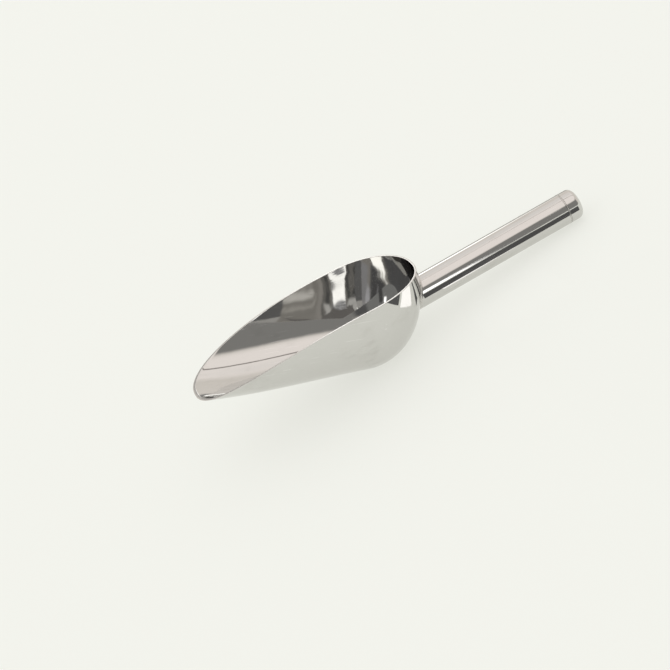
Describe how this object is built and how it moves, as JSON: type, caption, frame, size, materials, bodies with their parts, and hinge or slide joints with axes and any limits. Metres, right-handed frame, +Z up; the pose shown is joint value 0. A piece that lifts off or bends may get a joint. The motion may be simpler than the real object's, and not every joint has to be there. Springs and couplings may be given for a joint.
{
  "type": "ice scoop",
  "caption": "Small bar ice scoop in polished stainless steel: a deep bullet-shaped bowl, open above and in front, on a straight round tube handle.",
  "frame": {"origin": "on the table under the middle of the scoop's box, as it lies on the underside of the bowl's dome and the handle's end", "axes": "+X from the bowl's tip to the handle's end, +Z up, XZ is the plane of symmetry"},
  "size_m": [0.2108, 0.06, 0.0433],
  "materials": {
    "polished_steel": "mirror polished stainless steel, with fine polishing lines",
    "weld": "dressed and buffed weld"
  },
  "bodies": {
    "root": {"bowl": "polished_steel", "bowl_weld": "weld", "handle_tube": "polished_steel", "handle_end_cap": "polished_steel", "cap_weld": "weld"}
  },
  "joints": []
}
